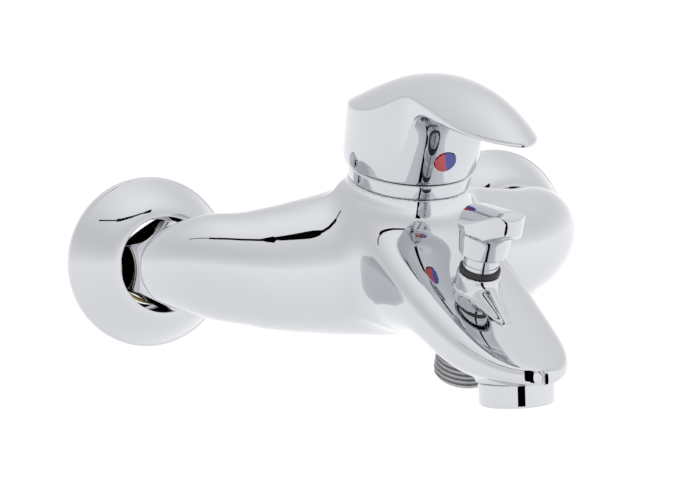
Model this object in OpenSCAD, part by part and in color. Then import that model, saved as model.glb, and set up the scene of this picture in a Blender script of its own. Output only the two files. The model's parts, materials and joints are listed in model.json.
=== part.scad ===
// Wall mounted single lever bath mixer with a pull diverter and a hose outlet.
// Millimetres. X runs along the wall, +Y into the wall, +Z up.
// The origin is on the wall face, midway between the two supply outlets.

/* [Wall connection] */
// Distance between the two supply outlets
inlet_centres = 150; // [140:1:160]
// Radius of the wall flange
flange_r = 32.4; // [28:0.1:36]
// Depth of the wall flange
flange_depth = 19.9; // [14:0.1:24]
// Distance from the wall to the ends of the body
body_end_gap = 32; // [28:0.5:40]
// Across flats of the union nut
nut_af = 30; // [29:1:32]
// Drop of the wall thread below the body thread
union_drop = 5; // [3:0.5:10]
// Radius of the half inch threads
half_inch_r = 10.48; // [10.4:0.01:10.5]
// Radius of the three quarter inch threads
three_quarter_r = 13.2; // [13.1:0.01:13.3]

/* [Body] */
// Radius of the barrel at the middle
barrel_r = 28.4; // [25:0.5:32]
// Distance from the wall to the barrel axis
barrel_y = 55; // [50:0.5:60]
// Outward lean of the cartridge axis in degrees
lean = 18; // [10:1:25]
// Distance from the wall to the cartridge axis at inlet height
cartridge_y = 67.8; // [60:0.1:75]
// Distance from the wall to the lip of the spout
spout_reach = 172; // [160:1:185]
// Distance from the wall to the outlet axis
outlet_y = 151.4; // [145:0.1:160]
// Wall thickness of the casting
casting_wall = 3.6; // [3:0.1:5]

/* [Handle] */
// Radius of the handle cup
cup_r = 25.2; // [24:0.1:28]
// Length of the lever from the cartridge axis
lever_length = 81; // [75:1:90]
// Half width of the lever blade
blade_half = 15.7; // [14:0.1:18]
// Highest point of the handle roof above the axis foot
roof_top = 80; // [77:0.1:83]

/* [Diverter] */
// Outward lean of the diverter and hose axis in degrees
diverter_lean = 24; // [15:1:28]
// Radius of the diverter knob
knob_r = 9.8; // [8:0.1:12]
// Lift of the diverter valve
diverter_lift = 7; // [5:0.5:7]

/* [Hidden] */
$fn = 96;
eps = 0.02;
inlet_x = inlet_centres / 2;
barrel_z = -1.9;
barrel_soft = 20;
barrel_slope = 0.178;
barrel_half = 50;
end_r = 15.6;
elbow_y = 51;
elbow_bend = 22;
hose_foot = [0, -111.46, -40.47];
// stations along the cartridge axis
seat_w = 12;
neck_w = 30.3;
neck_r = 22.2;
ring_top = 35.9;
cup_w = 36.2;
cup_bore_r = 23;
cup_front_bore_r = 21.6;
pivot_w = 31;
// ports in the discs, measured from the cartridge axis
inlet_port_x = 7.5;
inlet_port_y = 5;
mixed_port_y = 8.5;
elbow_way_r = 11.4;
// badge on the front of the handle cup
badge_y = 26;
badge_w = 46.3;
badge_tilt = 107;
badge_turn = 18;
// stations along the diverter axis
thread_s = 11.5;
lower_seat_s = 15;
nipple_top_s = 17.6;
upper_seat_s = lower_seat_s + diverter_lift + 2.5;
bonnet_s = 33;
boss_s = 42.4;
stem_r = 2;
stem_top_s = 62;
// outlet mouth below the inlets
outlet_drop = 46.2;

// part to draw

// ---------- frames ----------

// local z runs up the cartridge axis, local -y points out over the spout
module on_cartridge() {
  translate([0, -cartridge_y, 0]) rotate([lean, 0, 0]) children();
}

// local z runs up from the hose thread through the diverter stem
module on_diverter() {
  translate(hose_foot) rotate([diverter_lean, 0, 0]) children();
}

// local z runs out from the wall, at one of the two inlets
module on_inlet(side) {
  translate([side * inlet_x, 0, 0]) rotate([90, 0, 0]) children();
}

// tube from z0 to z1
module tube(r_out, r_in, z0, z1) {
  difference() {
    translate([0, 0, z0]) cylinder(r = r_out, h = z1 - z0);
    translate([0, 0, z0 - 1]) cylinder(r = r_in, h = z1 - z0 + 2);
  }
}

module rod(r, z0, z1) {
  translate([0, 0, z0]) cylinder(r = r, h = z1 - z0);
}

module hex_bar(af, z0, z1) {
  translate([0, 0, z0]) cylinder(r = af / sqrt(3), h = z1 - z0, $fn = 6);
}

// ---------- wall connection ----------

module s_union(side) {
  color([0.78, 0.70, 0.48]) difference() {
    union() {
      translate([0, -union_drop, 0]) rod(half_inch_r, -18, -2);
      translate([0, -union_drop, 0]) rod(9.6, -2.5, 1);
      translate([0, -union_drop / 2, 0]) rod(13.4, 0.3, 7.5);
      rod(11.8, 7, 9.5);
      rod(three_quarter_r, 9, 21);
    }
    translate([0, -union_drop, 0]) rod(7.2, -19, 6);
    rod(9.4, 3.5, 22);
  }
}

module flange_profile() {
  rim = 4;
  lip_r = 18.1;
  steps = 14;
  outer = [for (i = [0 : steps])
    let (t = i / steps, r = flange_r - 0.9 - t * (flange_r - 0.9 - lip_r - 0.4))
      [r, rim + (flange_depth - rim) * (1 - pow(1 - t, 1.75)) * 0.98]];
  inner = [for (i = [0 : steps])
    let (t = 1 - i / steps, r = flange_r - 2.4 - t * (flange_r - 2.4 - lip_r))
      [r, rim - 1.6 + (flange_depth - rim) * (1 - pow(1 - t, 1.75)) * 0.98]];
  polygon(concat([[flange_r - 2.4, 0], [flange_r - 0.4, 0], [flange_r, 0.4], [flange_r, rim - 1],
    [flange_r - 0.3, rim - 0.3]], outer, [[lip_r, flange_depth]], inner));
}

module flange() {
  color("silver") union() {
    rotate_extrude() flange_profile();
    tube(20, 16.2, 2.5, 4.6);
    tube(flange_r - 2.2, 19, 2.5, 4.6);
  }
}

module union_nut() {
  color("silver") difference() {
    intersection() {
      rotate([0, 0, 30]) hex_bar(nut_af, 12, 31.4);
      union() {
        rod(nut_af / 2 + 0.2, 12, 12.6);
        rod(nut_af, 12.6 - eps, 29.6);
        translate([0, 0, 29.6 - eps]) cylinder(r1 = 18, r2 = 15.4, h = 1.8 + eps);
      }
    }
    rod(three_quarter_r + 0.03, 11, 26.6);
    rod(10.7, 26, 33);
  }
}

module inlet_washer() {
  color([0.12, 0.12, 0.12]) tube(12.9, 9.0, 21.02, 23.5);
}

module strainer() {
  color([0.75, 0.75, 0.72]) difference() {
    union() {
      rod(8.7, 19.9, 20.9);
      rod(6.5, 17.6, 20.4);
    }
    rod(5.9, 18.2, 21.5);
    for (k = [0 : 5]) rotate([0, 0, 60 * k]) translate([3.6, 0, 15]) cylinder(r = 1, h = 6, $fn = 24);
    translate([0, 0, 15]) cylinder(r = 1, h = 6, $fn = 24);
  }
}

module inlet_nipple() {
  color([0.78, 0.70, 0.48]) difference() {
    union() {
      rod(12.9, 23.52, 26.3);
      rod(10.4, 26, 32.2);
      rod(10.2, 32, 42);
    }
    rod(7.5, 23, 43);
  }
}

module check_valve() {
  color([0.93, 0.93, 0.9]) difference() {
    union() {
      tube(7.4, 6.2, 26, 40);
      rod(4.6, 30, 32.2);
      for (k = [0 : 2]) rotate([0, 0, 120 * k]) translate([0, -0.6, 30]) cube([6.6, 1.2, 1.6]);
      rod(1.2, 31, 39.5);
    }
    translate([0, 0, 25]) cylinder(r = 0.5, h = 3, $fn = 24);
  }
}

// ---------- body ----------

// radius of the barrel at distance x from the middle
function barrel_at(x) = barrel_r - barrel_slope * (sqrt(x * x + barrel_soft * barrel_soft) - barrel_soft);

module barrel() {
  n = 22;
  xs = [for (i = [-n : n]) barrel_half * i / n];
  translate([0, -barrel_y, barrel_z]) rotate([0, 90, 0]) rotate_extrude()
    polygon(concat([[0, -barrel_half]], [for (x = xs) [barrel_at(x), x]], [[0, barrel_half]]));
}

// sides and ends of a solid skinned over rings of m points
function skin_faces(n, m, out) = concat(
  [for (i = [0 : n - 1]) for (j = [0 : m - 1]) for (k = [0 : 1])
    let (a = i * m + j, b = i * m + (j + 1) % m, c = a + m, d = b + m)
      out ? (k == 0 ? [a, b, d] : [a, d, c]) : (k == 0 ? [a, d, b] : [a, c, d])],
  [[for (j = [0 : m - 1]) out ? m - 1 - j : j]],
  [[for (j = [0 : m - 1]) out ? n * m + j : n * m + m - 1 - j]]);

// centre, heading, radius, extra height and lower flat of the elbow, t from the barrel to the wall end
function elbow_at(t) = let (
    a = 90 * t, back = elbow_y - elbow_bend, blend = pow(1 - t, 2),
    c = [inlet_x - elbow_bend + elbow_bend * sin(a), -back - elbow_bend * cos(a)])
  [[c[0], c[1] - (barrel_y - elbow_y) * blend, barrel_z * blend], a,
    end_r + 6 * pow(1 - t, 1.35), 1.8 * pow(sin(180 * t), 2), 2.6 * sin(180 * t)];

// elbow that narrows from the barrel to the round end facing the wall
module barrel_end(side) {
  n = 14;
  m = 44;
  start = [for (q = [0 : 1]) let (x = barrel_half - 3 + q * 3.5)
    [[x, -barrel_y, barrel_z], 0, barrel_at(x) - 0.05, 0, 0]];
  bend = [for (i = [0 : n]) elbow_at(0.08 + 0.8 * i / n)];
  stop = [for (q = [1, 0]) [[inlet_x, -body_end_gap - q, 0], 90, end_r - 0.9 * (1 - q), 0, 0]];
  path = concat(start, bend, stop);
  points = [for (k = path) for (j = [0 : m - 1])
    let (b = 360 * j / m, r = k[2] - k[4] * pow(max(0, cos(b - 225)), 2))
      [side * (k[0][0] - r * cos(b) * sin(k[1])), k[0][1] + r * cos(b) * cos(k[1]),
        k[0][2] + r * (1 + k[3] / k[2]) * sin(b)]];
  polyhedron(points = points, faces = skin_faces(len(path) - 1, m, side < 0), convexity = 4);
}

module neck() {
  fillet = 14;
  n = 12;
  arc = [for (i = [0 : n]) let (a = 72 * (1 - i / n))
    [neck_r + fillet * (1 - cos(a)), neck_w - 1.5 - fillet * sin(a)]];
  on_cartridge() rotate_extrude() polygon(concat([[0, -12], [26, -12]], arc,
    [[neck_r, neck_w - 0.6], [neck_r - 0.6, neck_w], [0, neck_w]]));
}

// spout centre line: top and bottom heights and half width at distance d from the wall
function spout_top(d) = 15.5 - 0.585 * (d - 90) - 2.2 * sin(180 * min(1, (d - 90) / (spout_reach - 90)));
function ease(t) = let (q = max(0, min(1, t))) q * q * (3 - 2 * q);
function spout_low(d) = -26.6 - 11.2 * ease((d - 104) / 50);
function spout_half(d) = let (t = (d - 84) / (spout_reach - 84))
  (26 - 9 * pow(min(1, max(0, t)), 1.1) + 1.2 * sin(180 * min(1, max(0, (t - 0.1) / 0.85))))
    * pow(max(0, 1 - pow(max(0, t), 8)), 0.45);

function spout_ring(d, m) = let (
    top = spout_top(d), low = min(spout_low(d), top - 0.6), half = max(0.8, spout_half(d)),
    mid = (top + low) / 2, tall = (top - low) / 2)
  [for (j = [0 : m - 1]) let (a = 360 * j / m, c = cos(a), s = sin(a), p = s > 0 ? 0.62 : 0.8)
    [half * sign(c) * pow(abs(c), p), -d, mid + tall * sign(s) * pow(abs(s), p)]];

module spout() {
  n = 22;
  m = 40;
  ds = [for (i = [0 : n]) 70 + (spout_reach - 70.4) * sin(90 * i / n)];
  points = [for (d = ds) for (q = spout_ring(d, m)) q];
  polyhedron(points = points, faces = skin_faces(n, m, false), convexity = 6);
}

// raised seat of the diverter, running out to a narrow tip on the spout
module diverter_boss() {
  hull() {
    on_diverter() rod(8.6, 26, boss_s - 1.2);
    on_diverter() rod(7.6, 26, boss_s);
    translate([0, -138.2, -19.6]) sphere(r = 2.6, $fn = 32);
    on_diverter() rod(8.6, 20, 26);
  }
}

module supply_chamber(side) {
  n = 10;
  x0 = 27;
  x1 = barrel_half + 4;
  xs = [for (i = [0 : n]) x0 + (x1 - x0) * i / n];
  translate([0, -barrel_y, barrel_z]) rotate([0, side * 90, 0]) rotate_extrude()
    polygon(concat([[0, x0]], [for (x = xs) [barrel_at(x) - casting_wall, x]], [[0, x1]]));
  translate([0, -barrel_y - 4, -6]) rotate([0, side * 90, 0]) rod(7, 4.5, 30);
  // round the elbow to the inlet
  translate([side * (inlet_x - elbow_bend), elbow_bend - elbow_y, 0])
    rotate([0, 0, side > 0 ? -92 : 180]) rotate_extrude(angle = 92)
      translate([elbow_bend, 0]) circle(r = elbow_way_r);
}

module body_casting() {
  color("silver") difference() {
    union() {
      barrel();
      barrel_end(-1);
      barrel_end(1);
      neck();
      spout();
      diverter_boss();
      on_diverter() rod(12.4, thread_s, 18);
      translate([0, -outlet_y, -37.8]) rod(14.2, 0, 6);
    }
    for (side = [-1, 1]) {
      supply_chamber(side);
      on_inlet(side) rod(10.22, 31, 42.2);
      // flat end that faces the union nut
      on_inlet(side) rod(19, 20, body_end_gap);
      // ports from the supply ways up into the cartridge seat
      on_cartridge() translate([side * inlet_port_x, inlet_port_y, 0]) rod(3, -8, seat_w + 1);
    }
    // cartridge seat and the thread above it
    on_cartridge() rod(17.55, seat_w, neck_w + 1);
    on_cartridge() rod(19.02, 25, neck_w + 1);
    // mixed water way down to the diverter
    on_cartridge() translate([0, -mixed_port_y, 0]) rod(3.6, 0, seat_w + 1);
    translate([0, -79, -6]) rotate([114, 0, 0]) rod(4.6, -3, 41);
    // spot face round the hose nipple
    on_diverter() rod(14.2, 2, thread_s);
    // diverter: lower thread, chamber, upper seat, upper chamber and bonnet thread
    on_diverter() rod(9.6, 10, nipple_top_s);
    on_diverter() rod(8.2, nipple_top_s - eps, upper_seat_s);
    on_diverter() rod(4.6, upper_seat_s - 1, 27.5);
    on_diverter() rod(6.3, 26.5, bonnet_s + eps);
    on_diverter() rod(5.62, bonnet_s, boss_s + 2);
    // way from above the upper seat out to the outlet socket
    translate([0, -123.5, -13.5]) rotate([132, 0, 0]) rod(4.2, 0, 31);
    // outlet socket
    translate([0, -outlet_y, -40]) rod(12.02, 0, 10.6);
    translate([0, -outlet_y, -40]) rod(9, 0, 13);
  }
}

// ---------- cartridge ----------

module cartridge_base() {
  color([0.9, 0.9, 0.88]) on_cartridge() difference() {
    union() {
      rod(17.3, seat_w + 0.6, seat_w + 3.6);
      rod(15.2, seat_w + 3.6 - eps, seat_w + 4.6);
    }
    for (side = [-1, 1]) translate([side * inlet_port_x, inlet_port_y, seat_w - 1])
      cylinder(r = 3.2, h = 8);
    translate([0, -mixed_port_y, seat_w - 1]) cylinder(r = 3.8, h = 8);
    for (side = [-1, 1]) translate([side * inlet_port_x, inlet_port_y, seat_w - 1])
      cylinder(r = 4.6, h = 2.6);
    translate([0, -mixed_port_y, seat_w - 1]) cylinder(r = 4.8, h = 2.6);
  }
}

module base_seal() {
  color([0.15, 0.15, 0.16]) on_cartridge() {
    for (side = [-1, 1]) translate([side * inlet_port_x, inlet_port_y, 0])
      tube(4.55, 3.2, seat_w + 0.02, seat_w + 1.58);
    translate([0, -mixed_port_y, 0]) tube(4.75, 3.8, seat_w + 0.02, seat_w + 1.58);
  }
}

module fixed_disc() {
  color([0.96, 0.95, 0.92]) on_cartridge() difference() {
    rod(14, seat_w + 4.62, seat_w + 8);
    for (side = [-1, 1]) translate([side * inlet_port_x, inlet_port_y, seat_w + 4])
      cylinder(r = 3, h = 5);
    translate([0, -mixed_port_y, seat_w + 4]) cylinder(r = 3.6, h = 5);
  }
}

module moving_disc() {
  color([0.96, 0.95, 0.92]) on_cartridge() difference() {
    rod(11.2, seat_w + 8.02, seat_w + 11);
    translate([0, -3, seat_w + 7]) cylinder(r = 4.2, h = 3);
    translate([-2.5, -2.5, seat_w + 9.4]) cube([5, 5, 3]);
  }
}

module cartridge_housing() {
  color([0.3, 0.32, 0.36]) on_cartridge() difference() {
    union() {
      rod(17.4, seat_w + 5, 26);
      rod(15.6, 26 - eps, 34);
      translate([0, 0, 34 - eps]) cylinder(r1 = 15.6, r2 = 14.2, h = 1.4);
    }
    rod(15.3, seat_w + 4, seat_w + 12);
    rod(13.1, seat_w + 11, 31);
    rod(10.1, 30, 37);
  }
}

// turns with the handle and carries the spindle pin
module rotor() {
  color([0.85, 0.85, 0.82]) on_cartridge() difference() {
    union() {
      rod(12.8, 26, 30.8);
      rod(9.8, 30.8 - eps, 34.6);
    }
    translate([-3.35, -7.5, 24]) cube([6.7, 15, 13]);
    translate([-16, 0, pivot_w]) rotate([0, 90, 0]) cylinder(r = 1.55, h = 32);
  }
}

module spindle_pin() {
  color([0.8, 0.8, 0.82]) on_cartridge()
    translate([-9.2, 0, pivot_w]) rotate([0, 90, 0]) cylinder(r = 1.5, h = 18.4);
}

module spindle() {
  color([0.8, 0.8, 0.82]) on_cartridge() difference() {
    union() {
      translate([-3, -3, 27]) cube([6, 6, 12]);
      translate([-3.6, -3.6, 39 - eps]) cube([7.2, 7.2, 12.4]);
      rod(1.6, seat_w + 10.4, 27 + eps);
    }
    translate([-16, 0, pivot_w]) rotate([0, 90, 0]) cylinder(r = 1.55, h = 32);
  }
}

module cartridge_nut() {
  color([0.78, 0.70, 0.48]) on_cartridge() difference() {
    union() {
      rod(19, 26.4, neck_w + 0.1);
      hex_bar(34, neck_w, 35);
    }
    rod(15.75, 25, 40);
  }
}

module trim_ring() {
  color("silver") on_cartridge() rotate_extrude() polygon([
    [19.7, neck_w + 0.02], [neck_r - 0.2, neck_w + 0.02], [neck_r + 0.2, neck_w + 0.5],
    [neck_r + 0.6, ring_top - 0.6], [neck_r + 0.1, ring_top], [19.7, ring_top]
  ]);
}

// ---------- handle ----------

function roof_line(f) = roof_top - (f > 45 ? 0.0062 : 0.0043) * pow(f - 45, 2)
  - 0.006 * pow(max(0, 5 - f), 2);
function roof_crown(f) = 0.0183 + 0.00046 * f;
function roof_at(f, u) = roof_line(f) - roof_crown(f) * u * u;
function blade_at(f) = let (t = max(0, (f - 20) / (lever_length - 20)))
  blade_half * pow(max(0, 1 - pow(t, 3.4)), 0.62);
// half width of the roof solid, standing a little proud of the round cup
roof_r = cup_r + 1.5;
function plan_at(f) = max(f < roof_r ? sqrt(max(0, roof_r * roof_r - f * f)) : 0, f > -5 ? blade_at(f) : 0);

// solid below the handle roof, over the plan of cup and blade
module roof_solid(f0, f1, foot) {
  n = 34;
  m = 14;
  fs = [for (i = [0 : n]) (f0 + f1) / 2 - (f1 - f0) / 2 * cos(180 * i / n)];
  us = [for (j = [0 : m]) -cos(180 * j / m)];
  top = [for (f = fs) for (u = us) [u * max(1.2, plan_at(f)), -f, roof_at(f, u * max(1.2, plan_at(f)))]];
  low = [for (q = top) [q[0], q[1], foot]];
  w = m + 1;
  k = len(top);
  over = [for (i = [0 : n - 1]) for (j = [0 : m - 1]) for (h = [0 : 1])
    let (a = i * w + j, b = a + 1, c = a + w, d = b + w) h == 0 ? [a, b, d] : [a, d, c]];
  rim = concat([for (j = [0 : m - 1]) j], [for (i = [0 : n - 1]) i * w + m],
    [for (j = [0 : m - 1]) n * w + m - j], [for (i = [0 : n - 1]) (n - i) * w]);
  r = len(rim);
  wall = [for (i = [0 : r - 1]) let (a = rim[i], b = rim[(i + 1) % r]) [a, k + a, k + b, b]];
  under = [[for (i = [0 : r - 1]) k + rim[r - 1 - i]]];
  polyhedron(points = concat(top, low), faces = concat(over, wall, under), convexity = 8);
}

// block that holds the front of the handle, wider than the blade
module front_block() {
  half = blade_half + 0.8;
  back = sqrt(cup_r * cup_r - half * half);
  translate([-half, -lever_length - 10, cup_w]) cube([2 * half, lever_length + 10 - back, 60]);
}

// side view of the blade, its underside sweeping down into the front of the cup
module blade_side() {
  n = 10;
  edge = [for (i = [0 : n]) let (t = i / n) [-27.6 - 15 * (1 - cos(90 * t)), 52 + 15.9 * sin(90 * t)]];
  rotate([90, 0, 90]) translate([0, 0, -30]) linear_extrude(height = 60)
    polygon(concat([[-15, 52]], edge, [[-60, 69.2], [-92, 71.6], [-92, 96], [-15, 96]]));
}

// turns the badge and the set screw way onto the sloping front of the cup
module on_badge() {
  translate([0, -badge_y, badge_w]) rotate([badge_tilt, 0, 0]) children();
}

module handle_outer() {
  intersection() {
    roof_solid(0.2 - roof_r, lever_length - 0.1, cup_w - 2);
    union() {
      intersection() {
        union() {
          rod(cup_r, cup_w, 96);
          front_block();
        }
        translate([0, 1.1, 0]) cylinder(r1 = 13.1, r2 = 110, h = 320);
      }
      intersection() {
        front_block();
        blade_side();
      }
    }
  }
}

module cup_bore(r, roof_r) {
  rod(r, cup_w - 1, 40);
  translate([0, 0, 40 - eps]) cylinder(r1 = r, r2 = roof_r, h = roof_r + 5);
}

// wider behind, where the lifted cup swings down over the trim ring
module cup_hollow() {
  cup_bore(cup_front_bore_r, 10.6);
  intersection() {
    cup_bore(cup_bore_r, 11);
    translate([-30, -1, 0]) cube([60, 60, 90]);
  }
}

module handle() {
  color("silver") on_cartridge() difference() {
    union() {
      difference() {
        handle_outer();
        cup_hollow();
        // hollow underside of the blade
        translate([0, -38, 66]) rotate([97.6, 0, 0]) rod(11, 0, 32);
      }
      rod(7, 40.5, 57.5);
    }
    translate([-3.65, -3.65, 39]) cube([7.3, 7.3, 13]);
    // set screw way and the recess of the indicator
    on_badge() {
      rod(2.5, -22.8, 4);
      rod(4.05, -1.2, 6);
    }
  }
}

module handle_screw() {
  color([0.35, 0.35, 0.37]) on_cartridge() on_badge() difference() {
    rod(2.45, -22.6, -15.5);
    translate([0, 0, -18]) cylinder(r = 1.45, h = 4, $fn = 6);
  }
}

module indicator_half(side, tint) {
  color(tint) on_cartridge() on_badge() rotate([0, 0, badge_turn]) intersection() {
    union() {
      rod(4, -1.15, 0.5);
      rod(2.4, -5, -1);
    }
    translate([side > 0 ? 0.01 : -10.01, -10, -10]) cube([10, 20, 20]);
  }
}

module indicator_hot() {
  indicator_half(-1, [0.78, 0.16, 0.18]);
}

module indicator_cold() {
  indicator_half(1, [0.12, 0.22, 0.62]);
}

// ---------- diverter ----------

module diverter_bonnet() {
  color("silver") on_diverter() difference() {
    union() {
      rod(5.6, bonnet_s + 0.3, boss_s + 0.1);
      rod(6.4, boss_s + 1.62, boss_s + 3.3);
      rod(5.9, boss_s + 3.2, boss_s + 3.7);
      rod(6.2, boss_s + 3.6, boss_s + 8.2);
    }
    rod(stem_r + 0.04, bonnet_s - 1, boss_s + 10);
    rod(3.6, boss_s + 5.2, boss_s + 10);
  }
}

module bonnet_washer() {
  color([0.12, 0.12, 0.12]) on_diverter() tube(7.3, 5.64, boss_s + 0.02, boss_s + 1.6);
}

module bonnet_seal() {
  color([0.12, 0.12, 0.12]) on_diverter() tube(3.55, stem_r + 0.04, boss_s + 5.22, boss_s + 7.2);
}

module diverter_stem() {
  color([0.78, 0.70, 0.48]) on_diverter() union() {
    rod(stem_r, lower_seat_s - 1, stem_top_s);
    rod(3.6, lower_seat_s + 2.02, lower_seat_s + 3.4);
    rod(3.4, lower_seat_s - 1.6, lower_seat_s);
  }
}

module diverter_washer() {
  color([0.15, 0.15, 0.16]) on_diverter() tube(6.4, stem_r + 0.02, lower_seat_s + 0.02, lower_seat_s + 2);
}

// round wire wound into an open coil
module coil(r, wire, z0, z1, turns) {
  n = round(turns * 20);
  m = 8;
  points = [for (i = [0 : n]) for (j = [0 : m - 1])
    let (a = 360 * turns * i / n, b = 360 * j / m, q = r + wire * cos(b))
      [q * cos(a), q * sin(a), z0 + (z1 - z0) * i / n + wire * sin(b)]];
  polyhedron(points = points, faces = skin_faces(n, m, true), convexity = 8);
}

// return spring between the washer keeper and the bonnet foot
module diverter_spring() {
  color([0.8, 0.8, 0.82]) on_diverter() coil(3, 0.5, lower_seat_s + 4.6, bonnet_s - 0.4, 4.5);
}

module diverter_knob() {
  foot = boss_s + 7.3;
  roof_tilt = 18.7;
  crown_r = 12;
  color("silver") on_diverter() difference() {
    intersection() {
      union() {
        rod(knob_r, foot, foot + 30);
        linear_extrude(height = 100) polygon([[-9.4, 2], [-8.8, -7], [-7, -12.4], [-3.8, -15.8], [0, -17],
          [3.8, -15.8], [7, -12.4], [8.8, -7], [9.4, 2]]);
      }
      rotate([90, 0, 90]) translate([0, 0, -15]) linear_extrude(height = 30)
        translate([0, foot]) polygon([[12, 0], [-7.6, 0], [-8.2, 6], [-9, 9.6], [-11.4, 12.4],
          [-15, 13.9], [-16.6, 14.8], [-17.4, 17], [-16.4, 20], [-13, 21.6],
          [-9, 21.4], [-3, 19.3], [7, 15.6], [12, 13]]);
      translate([0, -6.85, foot + 7.9]) rotate([90 - roof_tilt, 0, 0])
        cylinder(r = crown_r, h = 80, center = true);
    }
    rod(7.2, foot - 1, foot + 8.6);
    rod(stem_r + 0.02, foot - 1, stem_top_s + 0.1);
  }
}

// ---------- outlets ----------

module hose_nipple() {
  color([0.72, 0.73, 0.74]) on_diverter() difference() {
    union() {
      cylinder(r1 = half_inch_r - 0.6, r2 = half_inch_r, h = 0.6);
      rod(half_inch_r, 0.6 - eps, 10.6);
      rod(9.3, 10.5, thread_s + 0.5);
      rod(9.5, thread_s, nipple_top_s - 0.1);
    }
    tube(11, 8.5, 14, 15.6);
    rod(7, -1, 9);
    rod(4.4, 8, lower_seat_s + 1);
    rod(7.6, lower_seat_s, nipple_top_s + 1);
  }
}

module hose_nipple_seal() {
  color([0.12, 0.12, 0.12]) on_diverter() tube(9.58, 8.52, 14.02, 15.58);
}

module on_outlet() {
  translate([0, -outlet_y, -outlet_drop]) children();
}

module aerator_housing() {
  color("silver") on_outlet() difference() {
    union() {
      rotate_extrude() polygon([[0, 0], [12.6, 0], [13.1, 0.5], [13.3, 8], [12.8, 8.3], [0, 8.3]]);
      rod(12, 8.2, 15.6);
    }
    rod(10.4, -1, 3);
    rod(10.9, 2, 17);
  }
}

module aerator_washer() {
  color([0.12, 0.12, 0.12]) on_outlet() tube(11.6, 9.2, 15.62, 16.7);
}

module aerator_insert() {
  color([0.86, 0.87, 0.88]) on_outlet() difference() {
    union() {
      rod(10.3, 1.6, 2.8);
      tube(10.8, 9.6, 3.05, 14.8);
      rod(9.7, 9, 10.6);
    }
    for (x = [-3 : 3]) for (y = [-3 : 3]) if (x * x + y * y < 11)
      translate([x * 2.6, y * 2.6, 1]) cylinder(r = 1.05, h = 3, $fn = 6);
    for (k = [0 : 9]) rotate([0, 0, 36 * k]) translate([6.6, 0, 8]) cylinder(r = 0.7, h = 4, $fn = 24);
  }
}

module aerator_screen() {
  color([0.7, 0.7, 0.7]) on_outlet() difference() {
    rod(9.5, 10.7, 11.5);
    for (k = [0 : 7]) rotate([0, 0, 45 * k]) translate([6, 0, 10]) cylinder(r = 1.2, h = 3, $fn = 6);
    translate([0, 0, 10]) cylinder(r = 2, h = 3, $fn = 6);
  }
}

// ---------- drawing ----------

on_inlet(-1) s_union(-1);  // s_union_left
on_inlet(1) s_union(1);  // s_union_right
on_inlet(-1) flange();  // flange_left
on_inlet(1) flange();  // flange_right
on_inlet(-1) union_nut();  // union_nut_left
on_inlet(1) union_nut();  // union_nut_right
on_inlet(-1) inlet_washer();  // inlet_washer_left
on_inlet(1) inlet_washer();  // inlet_washer_right
on_inlet(-1) strainer();  // strainer_left
on_inlet(1) strainer();  // strainer_right
on_inlet(-1) inlet_nipple();  // inlet_nipple_left
on_inlet(1) inlet_nipple();  // inlet_nipple_right
on_inlet(-1) check_valve();  // check_valve_left
on_inlet(1) check_valve();  // check_valve_right
body_casting();
cartridge_base();
base_seal();
fixed_disc();
cartridge_housing();
cartridge_nut();
trim_ring();
rotor();
spindle_pin();
spindle();
moving_disc();
handle();
handle_screw();
indicator_hot();
indicator_cold();
diverter_bonnet();
bonnet_washer();
bonnet_seal();
diverter_stem();
diverter_washer();
diverter_spring();
diverter_knob();
hose_nipple();
hose_nipple_seal();
aerator_housing();
aerator_washer();
aerator_insert();
aerator_screen();
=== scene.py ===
import json
import math
import bpy
import numpy as np
from mathutils import Matrix, Vector


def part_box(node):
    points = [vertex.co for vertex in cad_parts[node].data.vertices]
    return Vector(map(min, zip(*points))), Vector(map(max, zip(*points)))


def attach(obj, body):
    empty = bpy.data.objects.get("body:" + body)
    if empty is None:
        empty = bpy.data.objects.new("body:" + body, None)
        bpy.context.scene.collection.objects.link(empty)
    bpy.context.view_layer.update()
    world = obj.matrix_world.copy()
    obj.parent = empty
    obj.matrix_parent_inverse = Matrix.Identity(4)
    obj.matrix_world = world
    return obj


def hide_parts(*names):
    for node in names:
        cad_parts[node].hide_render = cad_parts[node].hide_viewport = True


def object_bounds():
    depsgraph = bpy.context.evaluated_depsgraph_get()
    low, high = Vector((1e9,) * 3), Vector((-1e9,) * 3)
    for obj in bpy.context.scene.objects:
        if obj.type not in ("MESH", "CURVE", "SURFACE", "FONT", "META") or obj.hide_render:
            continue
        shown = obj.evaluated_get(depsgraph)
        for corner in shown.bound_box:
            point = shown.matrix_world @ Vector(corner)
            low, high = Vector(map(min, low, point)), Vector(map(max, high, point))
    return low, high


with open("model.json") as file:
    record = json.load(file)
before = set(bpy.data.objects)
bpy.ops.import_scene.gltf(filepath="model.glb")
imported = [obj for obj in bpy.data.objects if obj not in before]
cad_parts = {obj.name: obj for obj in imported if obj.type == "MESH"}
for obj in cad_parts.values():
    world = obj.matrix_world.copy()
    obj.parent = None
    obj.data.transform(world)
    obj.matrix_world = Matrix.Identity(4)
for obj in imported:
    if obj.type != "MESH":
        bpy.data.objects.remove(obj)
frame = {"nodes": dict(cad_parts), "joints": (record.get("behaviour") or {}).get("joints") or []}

cad_lo, cad_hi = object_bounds()
scene = bpy.context.scene
nodes = frame["nodes"]
MM = 0.001

# ---------------------------------------------------------------- axes of the moving parts
joints = {j["name"]: j for j in frame["joints"]}
# height of the lift pin along the cartridge axis
PIVOT_W = 31.0


def joint_axis(name):
    j = joints[name]
    return np.array(j["axis"], float), np.array(j.get("pos", j.get("pos_m", (0, 0, 0))), float) / MM


turn_axis, turn_pos = joint_axis("handle_turn")
LEAN = math.atan2(-turn_axis[1], turn_axis[2])
CART = turn_pos - turn_axis * PIVOT_W
pull_axis = joint_axis("diverter_pull")[0]
DLEAN = math.atan2(-pull_axis[1], pull_axis[2])
# foot of the axis that the diverter stem and the hose nipple share
HOSE = np.array([0.0, -111.46, -40.47])


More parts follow.
